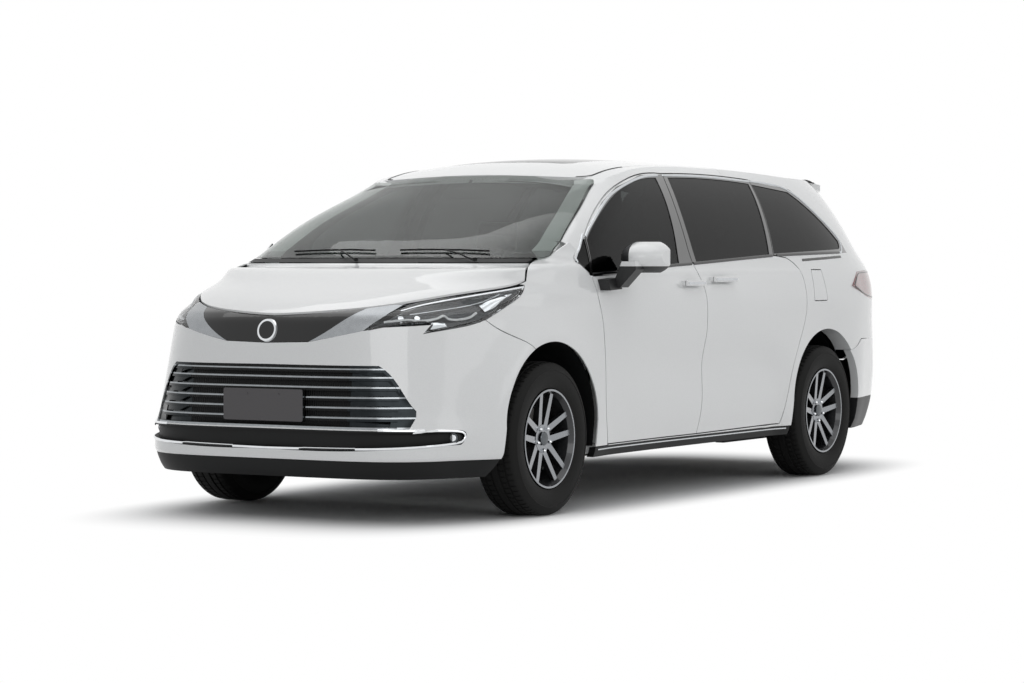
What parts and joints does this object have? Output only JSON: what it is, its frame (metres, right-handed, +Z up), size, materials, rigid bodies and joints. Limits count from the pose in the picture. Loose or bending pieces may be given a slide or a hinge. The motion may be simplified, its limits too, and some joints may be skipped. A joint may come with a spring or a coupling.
{
  "type": "minivan",
  "caption": "White seven-seat minivan on road wheels, with hinged front doors, sliding rear doors, a bonnet, a tailgate and seats in a hollow cabin.",
  "frame": {"origin": "on the ground, under the middle of the body's length", "axes": "+X to the front, +Y to the left side, +Z up"},
  "size_m": [5.1701, 2.392, 1.766],
  "materials": {
    "white_paint": "gloss",
    "black_plastic": "satin",
    "dark_plastic": "satin",
    "bright_trim": "polished",
    "tinted_glass": "gloss",
    "dark_glass": "gloss",
    "lamp_lens": "gloss",
    "red_lens": "gloss",
    "chassis_steel": "satin",
    "cast_iron": "rough",
    "exhaust_steel": "satin",
    "seat_fabric": "woven",
    "alloy": "machined",
    "tyre": "matte"
  },
  "bodies": {
    "body": {"body_side_left": "white_paint", "body_side_right": "white_paint", "roof_panel": "white_paint", "sunroof": "dark_glass", "windshield": "tinted_glass", "fixed_side_glass": "tinted_glass", "fender_left": "white_paint", "fender_right": "white_paint", "cowl": "black_plastic", "wipers": "black_plastic", "front_bumper": "white_paint", "headlamps": "lamp_lens", "upper_insert": "black_plastic", "grille_wings": "bright_trim", "air_dam": "black_plastic", "lower_grille": "black_plastic", "lower_intake": "black_plastic", "tail_lamps": "red_lens", "rear_bumper": "white_paint", "slide_door_left": "white_paint", "slide_door_right": "white_paint", "slide_door_glass": "dark_glass", "side_skirts": "black_plastic", "front_subframe": "chassis_steel", "front_frame": "chassis_steel", "rear_axle": "chassis_steel", "engine": "cast_iron", "exhaust": "exhaust_steel", "wheelhouse_liners": "black_plastic", "floor_pan": "chassis_steel", "front_seats": "seat_fabric", "middle_seats": "seat_fabric", "rear_seats": "seat_fabric", "dashboard": "dark_plastic"},
    "front_door_left": {"front_door_left": "white_paint", "front_door_glass_left": "tinted_glass", "mirror_left": "white_paint"},
    "front_door_right": {"front_door_right": "white_paint", "front_door_glass_right": "tinted_glass", "mirror_right": "white_paint"},
    "bonnet": {"bonnet": "white_paint", "bonnet_frame": "chassis_steel"},
    "tailgate": {"tailgate": "white_paint", "tailgate_glass": "dark_glass"},
    "fuel_door": {"fuel_door": "white_paint"},
    "steering_wheel": {"steering_wheel": "dark_plastic"},
    "knuckle_left": {"knuckle_front_left": "cast_iron"},
    "knuckle_right": {"knuckle_front_right": "cast_iron"},
    "wheel_front_left": {"wheel_front_left": "alloy", "tyre_front_left": "tyre"},
    "wheel_front_right": {"wheel_front_right": "alloy", "tyre_front_right": "tyre"},
    "wheel_rear_left": {"wheel_rear_left": "alloy", "tyre_rear_left": "tyre"},
    "wheel_rear_right": {"wheel_rear_right": "alloy", "tyre_rear_right": "tyre"}
  },
  "joints": [
    {"name": "front_door_left_hinge", "type": "hinge", "parent": "body", "child": "front_door_left", "pos_m": [1.042, 0.97, 0.7], "axis": [0, 0, -1], "range_deg": [0, 68]},
    {"name": "front_door_right_hinge", "type": "hinge", "parent": "body", "child": "front_door_right", "pos_m": [1.042, -0.97, 0.7], "axis": [0, 0, 1], "range_deg": [0, 68]},
    {"name": "bonnet_hinge", "type": "hinge", "parent": "body", "child": "bonnet", "pos_m": [1.5, 0, 1.202], "axis": [0, -1, 0], "range_deg": [0, 48]},
    {"name": "tailgate_hinge", "type": "hinge", "parent": "body", "child": "tailgate", "pos_m": [-2.056, 0, 1.691], "axis": [0, 1, 0], "range_deg": [0, 85]},
    {"name": "fuel_door_hinge", "type": "hinge", "parent": "body", "child": "fuel_door", "pos_m": [-1.281, 0.99, 1.075], "axis": [0, 0, -1], "range_deg": [0, 85]},
    {"name": "steer_left", "type": "hinge", "parent": "body", "child": "knuckle_left", "pos_m": [1.594, 0.79, 0.215], "axis": [0, -0.1961, 0.9806], "range_deg": [-34, 34]},
    {"name": "steer_right", "type": "hinge", "parent": "body", "child": "knuckle_right", "pos_m": [1.594, -0.79, 0.215], "axis": [0, 0.1961, 0.9806], "range_deg": [-34, 34]},
    {"name": "steering_wheel_turn", "type": "hinge", "parent": "body", "child": "steering_wheel", "pos_m": [0.7, 0.39, 1.01], "axis": [-0.8988, 0, 0.4384], "range_deg": [-510, 510]},
    {"name": "wheel_front_left_spin", "type": "hinge", "parent": "knuckle_left", "child": "wheel_front_left", "pos_m": [1.594, 0.857, 0.369], "axis": [0, 1, 0], "continuous": true},
    {"name": "wheel_rear_left_spin", "type": "hinge", "parent": "body", "child": "wheel_rear_left", "pos_m": [-1.466, 0.857, 0.369], "axis": [0, 1, 0], "continuous": true},
    {"name": "wheel_front_right_spin", "type": "hinge", "parent": "knuckle_right", "child": "wheel_front_right", "pos_m": [1.594, -0.857, 0.369], "axis": [0, 1, 0], "continuous": true},
    {"name": "wheel_rear_right_spin", "type": "hinge", "parent": "body", "child": "wheel_rear_right", "pos_m": [-1.466, -0.857, 0.369], "axis": [0, 1, 0], "continuous": true}
  ],
  "couplings": [
    {"joint": "steer_right", "follows": "steer_left", "ratio": 1},
    {"joint": "steering_wheel_turn", "follows": "steer_left", "ratio": 15}
  ]
}
